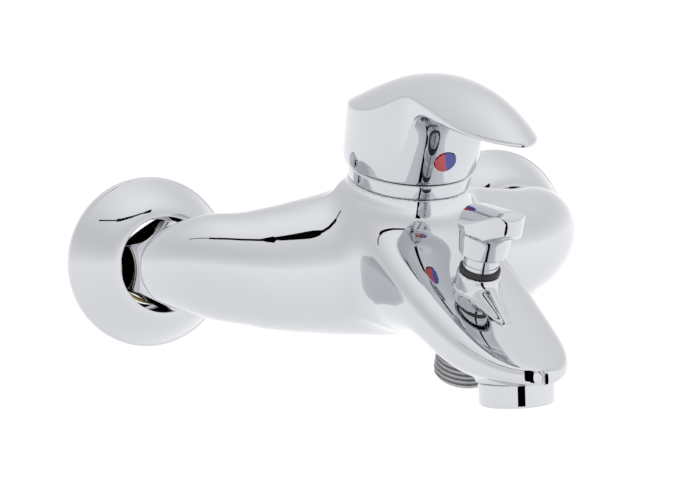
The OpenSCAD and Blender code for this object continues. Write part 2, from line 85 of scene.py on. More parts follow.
def along(base, lean, x, y, z):
    """Row frame to the frame of a leaning axis: u across, v towards the wall, w along it."""
    dy, dz = y - base[1], z - base[2]
    c, s = math.cos(lean), math.sin(lean)
    return x - base[0], dy * c + dz * s, dz * c - dy * s


def back_from(base, lean, p):
    c, s = math.cos(lean), math.sin(lean)
    return np.stack([p[:, 0] + base[0], p[:, 1] * c - p[:, 2] * s + base[1],
                     p[:, 1] * s + p[:, 2] * c + base[2]], 1)


def leaning(base, lean):
    return lambda p: back_from(base, lean, p)


def turned(base, lean):
    """Rotates a direction out of a leaning frame."""
    c, s = math.cos(lean), math.sin(lean)
    return lambda n: np.stack([n[:, 0], n[:, 1] * c - n[:, 2] * s, n[:, 1] * s + n[:, 2] * c], 1)


# ---------------------------------------------------------------- distance fields
def smin(a, b, k):
    h = np.maximum(k - np.abs(a - b), 0.0) / k
    return np.minimum(a, b) - h * h * h * k / 6.0


def smax(a, b, k):
    return -smin(-a, -b, k)


def step(t):
    t = np.clip(t, 0.0, 1.0)
    return t * t * t * (t * (6 * t - 15) + 10)


def polygon_distance(px, py, pts):
    """Signed distance to a closed polygon, negative inside."""
    d = np.full(np.shape(px), 1e9)
    inside = np.zeros(np.shape(px), bool)
    n = len(pts)
    for i in range(n):
        ax, ay = pts[i]
        bx, by = pts[(i + 1) % n]
        ex, ey = bx - ax, by - ay
        t = np.clip(((px - ax) * ex + (py - ay) * ey) / (ex * ex + ey * ey), 0, 1)
        d = np.minimum(d, np.hypot(px - ax - t * ex, py - ay - t * ey))
        hit = ((ay > py) != (by > py)) & (px < (bx - ax) * (py - ay) / (by - ay + 1e-12) + ax)
        inside ^= hit
    return np.where(inside, -d, d)


def gradient(field, p, e=0.02):
    g = np.empty_like(p)
    for i in range(3):
        a, b = p.copy(), p.copy()
        a[:, i] += e
        b[:, i] -= e
        g[:, i] = (field(a[:, 0], a[:, 1], a[:, 2]) - field(b[:, 0], b[:, 1], b[:, 2])) / (2 * e)
    return g


def settle(field, p, h, rounds=3):
    for _ in range(rounds):
        g = gradient(field, p)
        f = field(p[:, 0], p[:, 1], p[:, 2])
        m = np.maximum((g * g).sum(1), 0.05)
        move = -g * (f / m)[:, None]
        size = np.linalg.norm(move, axis=1)
        p = p + move * np.minimum(1, 0.5 * h / np.maximum(size, 1e-9))[:, None]
    return p


def surface(field, lo, hi, h, relax=3):
    """Quads over the zero surface of a distance field, settled on it, with the field's own normals."""
    lo, hi = np.array(lo, float), np.array(hi, float)
    n = np.ceil((hi - lo) / h).astype(int) + 1
    ax = [lo[i] + h * np.arange(n[i]) for i in range(3)]
    val = np.empty(tuple(n), np.float32)
    slab = max(1, int(400000 / (n[1] * n[2])))
    for i in range(0, n[0], slab):
        x, y, z = np.meshgrid(ax[0][i:i + slab], ax[1], ax[2], indexing="ij")
        val[i:i + slab] = field(x, y, z)
    s = val < 0
    count = np.zeros(tuple(n - 1), np.int8)
    for o in np.ndindex(2, 2, 2):
        count += s[tuple(slice(q, q + m - 1) for q, m in zip(o, n))]
    active = (count > 0) & (count < 8)
    cell = np.argwhere(active)
    ids = np.full(tuple(n - 1), -1, np.int64)
    ids[tuple(cell.T)] = np.arange(len(cell))
    acc, hits = np.zeros((len(cell), 3)), np.zeros(len(cell))
    for a in range(3):
        for o in np.ndindex(2, 2):
            off = np.insert(np.array(o), a, 0)
            ca = cell + off
            cb = ca.copy()
            cb[:, a] += 1
            va, vb = val[tuple(ca.T)].astype(float), val[tuple(cb.T)].astype(float)
            cross = (va < 0) != (vb < 0)
            t = np.where(cross, va / np.where(cross, va - vb, 1), 0)
            p = ca + 0.0
            p[:, a] += t
            acc[cross] += p[cross]
            hits[cross] += 1
    p = lo + h * acc / hits[:, None]
    quads = []
    for a in range(3):
        b, c = (a + 1) % 3, (a + 2) % 3
        low, high = [slice(1, -1)] * 3, [slice(1, -1)] * 3
        low[a], high[a] = slice(0, -1), slice(1, None)
        sa, sb = s[tuple(low)], s[tuple(high)]
        e = np.argwhere(sa != sb)
        keep = sa[tuple(e.T)]
        g = e.copy()
        g[:, b] += 1
        g[:, c] += 1

        def at(db, dc):
            k = g.copy()
            k[:, b] -= db
            k[:, c] -= dc
            return ids[tuple(k.T)]

        q = np.stack([at(1, 1), at(0, 1), at(0, 0), at(1, 0)], 1)
        q[~keep] = q[~keep][:, ::-1]
        quads.append(q)
    quads = np.concatenate(quads)
    p = settle(field, p, h)
    edge = np.concatenate([quads[:, [0, 1]], quads[:, [1, 2]], quads[:, [2, 3]], quads[:, [3, 0]]])
    edge = np.concatenate([edge, edge[:, ::-1]])
    degree = np.maximum(np.bincount(edge[:, 0], minlength=len(p)), 1)
    for _ in range(relax):
        mean = np.stack([np.bincount(edge[:, 0], p[edge[:, 1], i], len(p)) for i in range(3)], 1)
        p = p + 0.5 * (mean / degree[:, None] - p)
        p = settle(field, p, h, 2)
    g = gradient(field, p)
    return p, quads, g / np.maximum(np.linalg.norm(g, axis=1), 1e-9)[:, None]


# ---------------------------------------------------------------- meshes
def new_mesh(name, points, faces, normals=None):
    """Points in millimetres, faces as arrays of equal length or lists."""
    me = bpy.data.meshes.new(name)
    lens = [len(f) for f in faces] if isinstance(faces, list) else None
    if lens is None:
        flat = faces.reshape(-1)
        total = np.full(len(faces), faces.shape[1])
    else:
        flat = np.concatenate([np.asarray(f) for f in faces])
        total = np.array(lens)
    start = np.concatenate([[0], np.cumsum(total)[:-1]])
    me.vertices.add(len(points))
    me.vertices.foreach_set("co", (np.asarray(points, float) * MM).astype(np.float32).reshape(-1))
    me.loops.add(len(flat))
    me.loops.foreach_set("vertex_index", flat.astype(np.int32))
    me.polygons.add(len(total))
    me.polygons.foreach_set("loop_start", start.astype(np.int32))
    me.polygons.foreach_set("loop_total", total.astype(np.int32))
    me.polygons.foreach_set("use_smooth", np.ones(len(total), bool))
    me.update(calc_edges=True)
    me.validate()
    if normals is not None:
        me.normals_split_custom_set_from_vertices([tuple(v) for v in normals])
    ob = bpy.data.objects.new(name, me)
    scene.collection.objects.link(ob)
    return ob


def finish_piece(ob, material, body, *stands_for):
    ob.data.materials.append(material)
    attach(ob, body)
    if stands_for:
        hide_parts(*stands_for)
    return ob


def rounded(profile, radius, steps=5):
    """Closed profile of (r, z) points with every corner turned into a small arc."""
    pts = [np.array(q, float) for q in profile]
    out = []
    for i, q in enumerate(pts):
        a, b = pts[i - 1] - q, pts[(i + 1) % len(pts)] - q
        la, lb = np.linalg.norm(a), np.linalg.norm(b)
        r = min(radius if np.isscalar(radius) else radius[i], 0.45 * la, 0.45 * lb)
        if r < 1e-4 or abs(np.dot(a, b) / (la * lb)) > 0.9995:
            out.append(q)
            continue
        p0, p1 = q + a / la * r, q + b / lb * r
        for k in range(steps + 1):
            t = k / steps
            out.append((1 - t) ** 2 * p0 + 2 * t * (1 - t) * q + t * t * p1)
    return out


def lathe(name, profile, place, m=128, shape=None):
    """Turns a closed (r, z) profile about z; shape may bend a radius by angle and height."""
    pts = np.array(profile)
    a = 2 * math.pi * np.arange(m) / m
    r = pts[:, 0][:, None] * np.ones(m)
    z = pts[:, 1][:, None] * np.ones(m)
    if shape:
        r, z = shape(r, z, a[None, :] * np.ones((len(pts), 1)))
    p = np.stack([r * np.cos(a), r * np.sin(a), z], 2).reshape(-1, 3)
    n = len(pts)
    i, j = np.meshgrid(np.arange(n), np.arange(m), indexing="ij")
    i1, j1 = (i + 1) % n, (j + 1) % m
    q = np.stack([i * m + j, i * m + j1, i1 * m + j1, i1 * m + j], 2).reshape(-1, 4)
    area = np.sum(pts[:, 0] * np.roll(pts[:, 1], -1) - np.roll(pts[:, 0], -1) * pts[:, 1])
    if area < 0:
        q = q[:, ::-1]
    return new_mesh(name, place(p), q)


# ---------------------------------------------------------------- materials
def material(name, colour, metallic=0.0, rough=(0.3, 0.4), scale=400.0, bump=0.0, bump_size=0.0001,
             coat=0.0, tone=None, lines=None, specular=None, stretch=(1, 1, 1)):
    """A procedural finish: fine noise in the roughness, the relief and, where tone is given, the colour."""
    m = bpy.data.materials.new(name)
    m.use_nodes = True
    t = m.node_tree
    t.nodes.clear()
    out = t.nodes.new("ShaderNodeOutputMaterial")
    b = t.nodes.new("ShaderNodeBsdfPrincipled")
    t.links.new(b.outputs[0], out.inputs[0])
    b.inputs["Base Color"].default_value = (*colour, 1)
    b.inputs["Metallic"].default_value = metallic
    if coat:
        b.inputs["Coat Weight"].default_value = coat
        b.inputs["Coat Roughness"].default_value = 0.04
    if specular is not None:
        b.inputs["Specular IOR Level"].default_value = specular
    co = t.nodes.new("ShaderNodeTexCoord")
    mp = t.nodes.new("ShaderNodeMapping")
    mp.inputs["Scale"].default_value = stretch
    t.links.new(co.outputs["Object"], mp.inputs["Vector"])
    nz = t.nodes.new("ShaderNodeTexNoise")
    nz.inputs["Scale"].default_value = scale
    nz.inputs["Detail"].default_value = 5
    t.links.new(mp.outputs[0], nz.inputs["Vector"])
    rr = t.nodes.new("ShaderNodeMapRange")
    rr.inputs["From Min"].default_value = 0.3
    rr.inputs["From Max"].default_value = 0.7
    rr.inputs["To Min"].default_value, rr.inputs["To Max"].default_value = rough
    t.links.new(nz.outputs[0], rr.inputs["Value"])
    t.links.new(rr.outputs[0], b.inputs["Roughness"])
    if tone:
        mix = t.nodes.new("ShaderNodeMix")
        mix.data_type = "RGBA"
        mix.inputs["A"].default_value = (*colour, 1)
        mix.inputs["B"].default_value = (*tone, 1)
        big = t.nodes.new("ShaderNodeTexNoise")
        big.inputs["Scale"].default_value = scale / 9
        big.inputs["Detail"].default_value = 3
        t.links.new(mp.outputs[0], big.inputs["Vector"])
        t.links.new(big.outputs[0], mix.inputs["Factor"])
        t.links.new(mix.outputs["Result"], b.inputs["Base Color"])
    height = None
    if bump:
        height = nz.outputs[0]
    if lines:
        wv = t.nodes.new("ShaderNodeTexWave")
        wv.wave_type = "BANDS"
        wv.bands_direction = "Z"
        wv.inputs["Scale"].default_value = lines
        wv.inputs["Distortion"].default_value = 0.6
        wv.inputs["Detail"].default_value = 2
        t.links.new(mp.outputs[0], wv.inputs["Vector"])
        height = wv.outputs["Fac"]
    if height is not None:
        bp = t.nodes.new("ShaderNodeBump")
        bp.inputs["Strength"].default_value = bump or 0.1
        bp.inputs["Distance"].default_value = bump_size
        t.links.new(height, bp.inputs["Height"])
        t.links.new(bp.outputs[0], b.inputs["Normal"])
    return m


chrome = material("chrome_plate", (0.645, 0.657, 0.687), 1.0, (0.02, 0.045), 260, 0.03, 0.00002,
                  tone=(0.625, 0.638, 0.668))
brass = material("turned_brass", (0.72, 0.55, 0.28), 1.0, (0.22, 0.38), 900, 0.12, 0.00003,
                 tone=(0.62, 0.45, 0.22), lines=420)
satin = material("satin_nickel", (0.46, 0.465, 0.47), 1.0, (0.16, 0.30), 1400, 0.25, 0.00004,
                 tone=(0.36, 0.365, 0.375))
rubber = material("black_rubber", (0.016, 0.016, 0.017), 0.0, (0.42, 0.62), 1800, 0.35, 0.00005,
                  tone=(0.03, 0.03, 0.032))
steel = material("bright_steel", (0.56, 0.56, 0.55), 1.0, (0.16, 0.28), 1200, 0.15, 0.00003,
                 tone=(0.46, 0.46, 0.46))
dark_steel = material("blackened_steel", (0.10, 0.10, 0.11), 1.0, (0.3, 0.45), 1500, 0.2, 0.00003,
                      tone=(0.06, 0.06, 0.065))
white_plastic = material("white_moulding", (0.80, 0.80, 0.77), 0.0, (0.30, 0.42), 900, 0.12, 0.00004,
                         tone=(0.74, 0.74, 0.70))
pale_plastic = material("pale_moulding", (0.66, 0.67, 0.65), 0.0, (0.32, 0.45), 1100, 0.15, 0.00004,
                        tone=(0.58, 0.59, 0.58))
grey_plastic = material("grey_moulding", (0.085, 0.095, 0.115), 0.0, (0.36, 0.5), 1000, 0.18, 0.00004,
                        tone=(0.12, 0.13, 0.15))
ceramic = material("lapped_ceramic", (0.84, 0.82, 0.77), 0.0, (0.06, 0.14), 1600, 0.04, 0.00002,
                   tone=(0.80, 0.775, 0.72), coat=0.3)
red = material("red_enamel", (0.55, 0.022, 0.03), 0.0, (0.10, 0.2), 700, 0.03, 0.00003,
               tone=(0.44, 0.015, 0.022), coat=0.8)
blue = material("blue_enamel", (0.012, 0.03, 0.36), 0.0, (0.10, 0.2), 700, 0.03, 0.00003,
                tone=(0.008, 0.018, 0.25), coat=0.8)

node_finish = {
    "s_union": brass, "inlet_nipple": brass, "cartridge_nut": brass, "diverter_stem": brass,
    "inlet_washer": rubber, "base_seal": rubber, "bonnet_seal": rubber, "bonnet_washer": rubber,
    "diverter_washer": rubber, "hose_nipple_seal": rubber, "aerator_washer": rubber,
    "strainer": steel, "check_valve": white_plastic, "cartridge_base": pale_plastic,
    "fixed_disc": ceramic, "moving_disc": ceramic, "cartridge_housing": grey_plastic,
    "rotor": pale_plastic, "spindle_pin": steel, "spindle": steel, "handle_screw": dark_steel,
    "indicator_hot": red, "indicator_cold": blue, "diverter_spring": steel, "aerator_insert": white_plastic,
    "aerator_screen": steel, "hose_nipple": satin,
}


def finish_for(name):
    for key in sorted(node_finish, key=len, reverse=True):
        if name.startswith(key):
            return node_finish[key]
    return chrome


for name, ob in nodes.items():
    fin = finish_for(name)
    if not ob.material_slots:
        ob.data.materials.append(fin)
    for s in ob.material_slots:
        s.material = fin

# ---------------------------------------------------------------- body casting
BARREL_R, SLOPE, SOFT = 28.4, 0.178, 20.0
BARREL_Z = -1.9
BEND_X, BEND_Y, BEND_R = 53.0, -29.0, 22.0
INLET_X, OUTLET_Y, OUTLET_Z = 75, -151.4, -46.2
COLUMN_R, BOSS_S = 7.9, 42.4
NECK_R, NECK_W = 22.2, 30.3


def arm_field(x, y, z):
    """The barrel and its two elbows, swept along one path from the middle to the wall end."""
    ax = np.abs(x)
    straight = ax < BEND_X
    ang = np.arctan2(np.maximum(ax - BEND_X, 0), -(y - BEND_Y))
    ang = np.where(straight, 0, ang)
    s = np.where(straight, ax, BEND_X + BEND_R * ang)
    q = np.where(straight, -(y - BEND_Y), np.hypot(ax - BEND_X, y - BEND_Y)) - BEND_R
    g = 1 - step((s - 36) / 50)
    t = np.clip((s - BEND_X) / (BEND_R * math.pi / 2), 0, 1)
    core = BARREL_R - SLOPE * (np.sqrt(ax * ax + SOFT * SOFT) - SOFT)
    tail = 15.6 + 6.28 * (1 - t) ** 1.25
    r = np.where(s < BEND_X, core, tail)
    lift = 1.8 * np.sin(math.pi * t) ** 2
    out, high = q - 4 * g, (z - BARREL_Z * g) * r / (r + lift)
    size = np.hypot(out, high)
    flat = np.maximum(0, (out - high) / np.maximum(size, 1e-6) * 0.7071) ** 2
    d = size - r + 2.6 * np.sin(math.pi * t) * flat
    end = y + 32 - 60 * np.clip((62 - ax) / 8, 0, 1)
    return smax(d, end, 1.6)


def spout_field(x, y, z):
    """The spout, a rounded section at each distance from the wall."""
    d = -y
    top = 15.5 - 0.585 * (d - 90) - 2.2 * np.sin(math.pi * np.clip((d - 90) / 82, 0, 1))
    low = -26.6 - 11.2 * step((d - 104) / 50)
    t = np.clip((d - 84) / 88, 0, 1.04)
    swell = 1.2 * np.sin(math.pi * np.clip((t - 0.1) / 0.85, 0, 1))
    half = np.maximum(26 - 9 * t ** 1.1 + swell, 1) * np.maximum(1 - t ** 8, 0.0008) ** 0.45
    tall = np.maximum((top - low) / 2, 1.2)
    px, pz = np.abs(x) / half, (z - (top + low) / 2) / tall
    m = 2 / (0.8 - 0.18 * step(pz + 0.5))
    az = np.abs(pz)
    g = px ** m + az ** m + 1e-9
    root = g ** (1 / m)
    gx = (px / root) ** (m - 1) / half
    gz = (az / root) ** (m - 1) / tall
    f = (root - 1) / np.hypot(gx, gz)
    return np.clip(smax(f, 70 - d, 4), -30, 60)


BOSS_TIP = (0, -144.6, -19.6)


def boss_field(x, y, z):
    """The raised diverter seat, a short column that runs out to a narrow tip on the spout."""
    u, v, s = along(HOSE, DLEAN, x, y, z)
    column = smax(smax(np.hypot(u, v) - COLUMN_R, s - BOSS_S, 1.2), 22 - s, 3)
    a = back_from(HOSE, DLEAN, np.array([[0, -0.6, 35.2]]))[0]
    b = np.array(BOSS_TIP)
    ra, rb = 7.0, 2.2
    ba = b - a
    h = np.clip(((y - a[1]) * ba[1] + (z - a[2]) * ba[2]) / (ba @ ba), 0, 1)
    ridge = np.sqrt(x * x + (y - a[1] - h * ba[1]) ** 2 + (z - a[2] - h * ba[2]) ** 2) - (ra + (rb - ra) * h)
    return smax(smin(column, ridge, 2), s - BOSS_S, 1.2), s, np.hypot(u, v)


def casting_field(x, y, z):
    """The whole body casting with its bores."""
    d = arm_field(x, y, z)
    u, v, w = along(CART, LEAN, x, y, z)
    rc = np.hypot(u, v)
    neck = smax(smax(rc - NECK_R, w - NECK_W, 0.9), -8 - w, 4)
    spout = spout_field(x, y, z)
    d = smin(d, spout, 16)
    d = smin(d, neck, 19)
    boss, s, rd = boss_field(x, y, z)
    d = smin(d, boss, 1.8)
    socket = smax(smax(rd - 12.4, 10.5 - s, 0.8), s - 22, 3)
    d = smin(d, socket, 4)
    ro = np.hypot(x, y - OUTLET_Y)
    pad = smax(smax(ro - 14.0, -37.8 - z, 0.6), z + 32, 3)
    d = smin(d, pad, 2.5)
    d = smax(d, w - NECK_W - 30 * step((rc - 22.5) / 3), 0.7)
    # room for the back of the lifted cup
    d = smax(d, -smax(26.8 - w, 22.7 - rc, 5), 1.5)
    d = smax(d, -smax(rd - 14.2, s - 11.5, 0.6), 0.5)
    # cartridge seat, thread, inlets, diverter bores and outlet socket
    seat = np.maximum(rc - 17.55, 12 - w)
    seat = np.minimum(seat, np.maximum(rc - 19.02, 25 - w))
    ri = np.hypot(np.abs(x) - INLET_X, z)
    seat = np.minimum(seat, np.maximum(ri - 10.22, -42.2 - y))
    for r, s0, s1 in ((9.6, 0, 17.6), (8.2, 17, 24.5), (4.6, 24, 27.5), (6.3, 26.5, 33), (5.62, 32, 46)):
        seat = np.minimum(seat, np.maximum(rd - r, np.abs(s - (s0 + s1) / 2) - (s1 - s0) / 2))
    seat = np.minimum(seat, np.maximum(ro - 12.02, z + 29.4))
    return smax(d, -seat, 0.25)


# ---------------------------------------------------------------- handle
CUP_R, CUP_W, LEVER, BLADE = 25.2, 36.2, 81.0, 15.7
BLADE_FROM = 20.0
BLADE_RUN = LEVER - BLADE_FROM
BADGE_V, BADGE_W, BADGE_TILT, BADGE_R, SCREW_R = -26.0, 46.3, 107, 4.05, 2.5
HOLLOW_V, HOLLOW_W, HOLLOW_TILT, HOLLOW_R = -38, 66, 97.6, 11


def tilted(v, w, degrees):
    """How far a point runs along a hole tilted off the cartridge axis, and how far off it the point is."""
    c, s = math.cos(math.radians(degrees)), math.sin(math.radians(degrees))
    return -v * s + w * c, v * c + w * s


def handle_local(u, v, w):
    """The lever handle, in the frame of the cartridge axis."""
    f = -v
    r = np.hypot(u, v)
    roof = 80 - np.where(f > 45, 0.0062, 0.0043) * (f - 45) ** 2 - 0.006 * np.maximum(0, 5 - f) ** 2
    crown = 0.0183 + 0.00046 * f
    slope = np.hypot(1, np.hypot(2 * crown * u, 0.01 * (f - 45)))
    d_roof = (w - roof + crown * u * u) / slope
    t = np.clip((f - BLADE_FROM) / BLADE_RUN, 0, 1.1)
    au = np.abs(u) / BLADE
    fb = (au + 1e-6) ** 1.613 + t ** 3.4 - 1
    gu = 1.613 * (au + 1e-6) ** 0.613 / BLADE
    gf = 3.4 * t ** 2.4 / BLADE_RUN
    blade = fb / np.maximum(np.hypot(gu, gf), 0.05)
    blade = np.maximum(blade, -6 - f)
    plan = smin(r - CUP_R, np.clip(blade, -20, 40), 5)
    cone = (np.hypot(u, v - 1.1) - (13.1 + 0.303 * w)) / 1.045
    under = 67.9 + 0.075 * np.maximum(0, f - 42) - w
    d = smin(cone, under, 14)
    d = smax(d, plan, 1.3)
    edge = 0.9 + 1.2 * step((10 - f) / 26)
    d = smax(d, d_roof, edge)
    d = smax(d, CUP_W - w, 1.4)
    # hollow of the cup, wider behind, and the post with its square hole
    behind = np.maximum(r - np.where(w < 40, 23.0, 23 - (w - 40) * 0.75), -1 - v)
    inner = np.maximum(smin(behind, r - np.where(w < 40, 21.6, 21.6 - (w - 40) * 0.7), 0.8), w - 56)
    post = np.maximum(r - 7, 40.5 - w)
    post = np.maximum(post, -np.maximum(np.maximum(np.abs(u), np.abs(v)) - 3.65, w - 52))
    d = smax(d, -smax(inner, -post, 0.6), 1.0)
    # hollow underside of the blade
    run, off = tilted(v - HOLLOW_V, w - HOLLOW_W, HOLLOW_TILT)
    hollow = smax(np.hypot(u, off) - HOLLOW_R, np.abs(run - 16) - 16, 2)
    d = smax(d, -hollow, 1.2)
    # recess of the indicator and the set screw way
    run, off = tilted(v - BADGE_V, w - BADGE_W, BADGE_TILT)
    ri = np.hypot(u, off)
    d = smax(d, -np.maximum(ri - BADGE_R, -1.2 - run), 0.25)
    return np.maximum(d, -np.maximum(ri - SCREW_R, np.abs(run + 9) - 13.5))


# ---------------------------------------------------------------- diverter knob
KNOB_FOOT = 49.7
SIDE = [(16, 0), (-12, 0), (-12, 1), (-11, 6), (-10.4, 9.4), (-11.6, 11.6), (-15, 13.9), (-16.8, 14.8),
        (-17.8, 17),
        (-16.8, 20.2), (-13, 21.9), (-9, 21.5), (-3, 19.3), (7, 15.6), (16, 12)]
BEAK = [(-9.4, 4), (-9.4, 2), (-8.8, -7), (-7, -12.4), (-3.8, -15.8), (0, -17), (3.8, -15.8), (7, -12.4),
        (8.8, -7), (9.4, 2), (9.4, 4)]


def rounded_off(pts, rounds=3):
    """Cuts the corners of a closed outline until it runs smooth."""
    for _ in range(rounds):
        out = []
        for i, a in enumerate(pts):
            b = pts[(i + 1) % len(pts)]
            out += [(0.75 * a[0] + 0.25 * b[0], 0.75 * a[1] + 0.25 * b[1]),
                    (0.25 * a[0] + 0.75 * b[0], 0.25 * a[1] + 0.75 * b[1])]
        pts = out
    return pts


SIDE, BEAK = rounded_off(SIDE), rounded_off(BEAK)


def knob_local(u, v, w):
    """The pull knob, in the frame of the diverter axis."""
    s = w - KNOB_FOOT
    side = polygon_distance(v, s, SIDE) - 0.3
    beak = polygon_distance(u, v, BEAK) - 0.2
    beak = smax(beak, 10.2 - s, 2.5)
    body = np.hypot(u, v) - np.minimum(8.5 + 0.12 * s, 9.8)
    plan = smin(body, beak, 4)
    c, k = math.cos(math.radians(71.3)), math.sin(math.radians(71.3))
    hv, hs = v + 6.85, s - 7.9
    across = hv * c + hs * k
    crown = np.hypot(u, across) - 12
    d = smax(smax(smax(plan, side, 1.0), crown, 0.9), -s, 0.8)
    r = np.hypot(u, v)
    return smax(d, -np.maximum(np.minimum(r - 7.2, 90), s - 8.6), 0.3)


# ---------------------------------------------------------------- wall fittings
def inlet_place(tag):
    lo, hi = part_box("flange_" + tag)
    x = (lo[0] + hi[0]) / 2 / MM
    return lambda p: np.stack([p[:, 0] + x, -p[:, 2], p[:, 1]], 1)


def flange_profile():
    rim, depth, r0, lip = 4.0, 19.9, 32.4, 18.1
    n = 26
    outer, inner = [], []
    for i in range(n + 1):
        t = i / n
        z = rim + (depth - rim) * (1 - (1 - t) ** 1.75) * 0.98
        outer.append((r0 - 0.9 - t * (r0 - 0.9 - lip - 0.4), z))
        inner.append((r0 - 2.4 - t * (r0 - 2.4 - lip), z - 1.6))
    ring = [(r0 - 2.4, 0), (r0 - 0.3, 0), (r0, 0.6), (r0, rim - 1.1), (r0 - 0.35, rim - 0.35)]
    web = [(r0 - 2.4, 4.6), (16.2, 4.6), (16.2, 2.5), (r0 - 2.4, 2.5)]
    pts = ring + outer + [(lip, depth)] + inner[::-1] + web
    radii = [0.3] * len(ring) + [0.25] * len(outer) + [0.3] + [0.2] * len(inner) + [0.1] * 4
    return rounded(pts, radii, 4)


def hex_radius(af, a, soft):
    """Radius of a hexagon with slightly rounded corners."""
    k = np.mod(a + math.pi / 6, math.pi / 3) - math.pi / 6
    flat = af / 2 / np.cos(k)
    return smin(flat, np.full_like(flat, af / math.sqrt(3) - soft), 0.9)


def nut(name, af, z0, z1, bore, place):
    rise = np.concatenate([np.linspace(0, 1, 9) ** 2 * 1.9, np.linspace(2.2, z1 - z0 - 2.2, 12),
                           z1 - z0 - (np.linspace(1, 0, 9) ** 2) * 1.9])
    outer = [(20.0, z0 + q) for q in rise]
    face = af / 2 - 0.6
    prof = [(bore, z0), (face, z0)] + outer + [(face, z1), (bore, z1), (bore, (z0 + z1) / 2)]

    def shape(r, z, a):
        lim = af / 2 - 0.25 + 1.9 * np.sqrt(np.clip(np.minimum(z - z0, z1 - z) / 0.9, 0, 4))
        hexa = hex_radius(af, a, 0.25)
        return np.where(r > 19, smin(hexa, lim, 0.5), r), z

    return lathe(name, prof, place, 240, shape)


def thread(name, r_out, depth, pitch, z0, z1, rest, place):
    """A threaded pipe: a real helical thread that fades in at both ends, then the rest of the profile."""
    n = int((z1 - z0) / 0.12)
    zs = np.linspace(z0, z1, n + 1)
    prof = [(r_out - depth - 0.5, z0)] + [(50.0, z) for z in zs] + rest

    def shape(r, z, a):
        ph = np.mod(z / pitch - a / (2 * math.pi), 1)
        tri = np.abs(ph - 0.5) * 2
        tooth = step((tri - 0.12) / 0.76)
        fade = step((z - z0) / 1.6) * step((z1 - z) / 1.2 + 0.15)
        out = r_out - depth * (1 - tooth * fade)
        return np.where(r > 40, out, r), z

    return lathe(name, prof, place, 120, shape)


# ---------------------------------------------------------------- building
def build():
    p, q, n = surface(casting_field, (-94, -174, -52), (94, -24, 46), 1.0)
    finish_piece(new_mesh("casting", p, q, n), chrome, "mixer_body", "body_casting")

    cart = leaning(CART, LEAN)
    p, q, n = surface(handle_local, (-27, -83, 35), (27, 27, 82), 0.5)
    finish_piece(new_mesh("lever_handle", cart(p), q, turned(CART, LEAN)(n)), chrome, "lever", "handle")

    div = leaning(HOSE, DLEAN)
    p, q, n = surface(knob_local, (-12, -19, KNOB_FOOT - 1), (12, 12, KNOB_FOOT + 23), 0.35)
    finish_piece(new_mesh("pull_knob", div(p), q, turned(HOSE, DLEAN)(n)), chrome, "diverter", "diverter_knob")

    for tag in ("left", "right"):
        place = inlet_place(tag)
        finish_piece(lathe("wall_flange_" + tag, flange_profile(), place, 192), chrome, "mixer_body",
                     "flange_" + tag)
        finish_piece(nut("nut_" + tag, 30, 12.0, 31.4, 13.25, place), chrome, "mixer_body", "union_nut_" + tag)

    ring = rounded([(19.75, 30.34), (22.0, 30.34), (22.5, 30.95), (22.85, 35.2), (22.4, 35.9), (19.75, 35.9)],
                   [0.15, 0.4, 0.3, 0.4, 0.45, 0.2])
    finish_piece(lathe("neck_ring", ring, cart, 160), chrome, "mixer_body", "trim_ring")

    rest = [(9.3, 10.75), (9.3, 11.5), (9.5, 11.7), (9.5, 14.0), (8.52, 14.0), (8.52, 15.6), (9.5, 15.6),
            (9.5, 17.2), (9.2, 17.5), (7.6, 17.5), (7.6, 15.0), (4.4, 15.0), (4.4, 9.0), (7.0, 9.0),
            (7.0, 0.5), (7.5, 0.0)]
    finish_piece(thread("hose_thread", 10.48, 1.15, 1.814, 0.0, 10.7, rest, div), satin, "mixer_body",
                 "hose_nipple")
    out = lambda p: p + np.array([0, OUTLET_Y, OUTLET_Z])
    mouth = rounded([(10.4, 0.4), (10.9, 0.0), (12.6, 0.0), (13.1, 0.6), (13.3, 7.9), (12.9, 8.3), (12.0, 8.32),
                     (12.0, 15.6), (10.9, 15.6), (10.9, 3.0), (10.4, 2.9)],
                    [0.2, 0.2, 0.35, 0.3, 0.2, 0.2, 0.1, 0.2, 0.2, 0.1, 0.1])
    finish_piece(lathe("aerator_shell", mouth, out, 144), chrome, "mixer_body", "aerator_housing")


build()

# ---------------------------------------------------------------- camera
AZ, EL, ROLL = math.radians(-25.16537), math.radians(5.03098), math.radians(2.98801)
FOCAL, DIST = 2638.7258, 1.04281425
WIDE = 680.0
OFF_X, OFF_Y = -15.86958, 3.19522
back = Vector((math.sin(AZ) * math.cos(EL), -math.cos(AZ) * math.cos(EL), math.sin(EL)))
right = Vector((math.cos(AZ), math.sin(AZ), 0))
up = back.cross(right)
cam_right = math.cos(ROLL) * right - math.sin(ROLL) * up
cam_up = math.sin(ROLL) * right + math.cos(ROLL) * up
cam = bpy.data.objects.new("camera", bpy.data.cameras.new("camera"))
scene.collection.objects.link(cam)
place = back * DIST - cam_right * (OFF_X / FOCAL * DIST) + cam_up * (OFF_Y / FOCAL * DIST)
cam.matrix_world = Matrix((
    (cam_right.x, cam_up.x, back.x, place.x),
    (cam_right.y, cam_up.y, back.y, place.y),
    (cam_right.z, cam_up.z, back.z, place.z),
    (0, 0, 0, 1)))
cam.data.sensor_fit = "HORIZONTAL"
cam.data.sensor_width = 36
cam.data.lens = FOCAL * 36 / WIDE
cam.data.clip_start, cam.data.clip_end = 0.05, 60
scene.camera = cam


# ---------------------------------------------------------------- studio
FLOOR_DROP = 0.26


def glow(name, colour, strength):
    m = bpy.data.materials.new(name)
    m.use_nodes = True
    t = m.node_tree
    t.nodes.clear()
    out = t.nodes.new("ShaderNodeOutputMaterial")
    e = t.nodes.new("ShaderNodeEmission")
    e.inputs["Color"].default_value = (*colour, 1)
    e.inputs["Strength"].default_value = strength
    t.links.new(e.outputs[0], out.inputs[0])
    return m


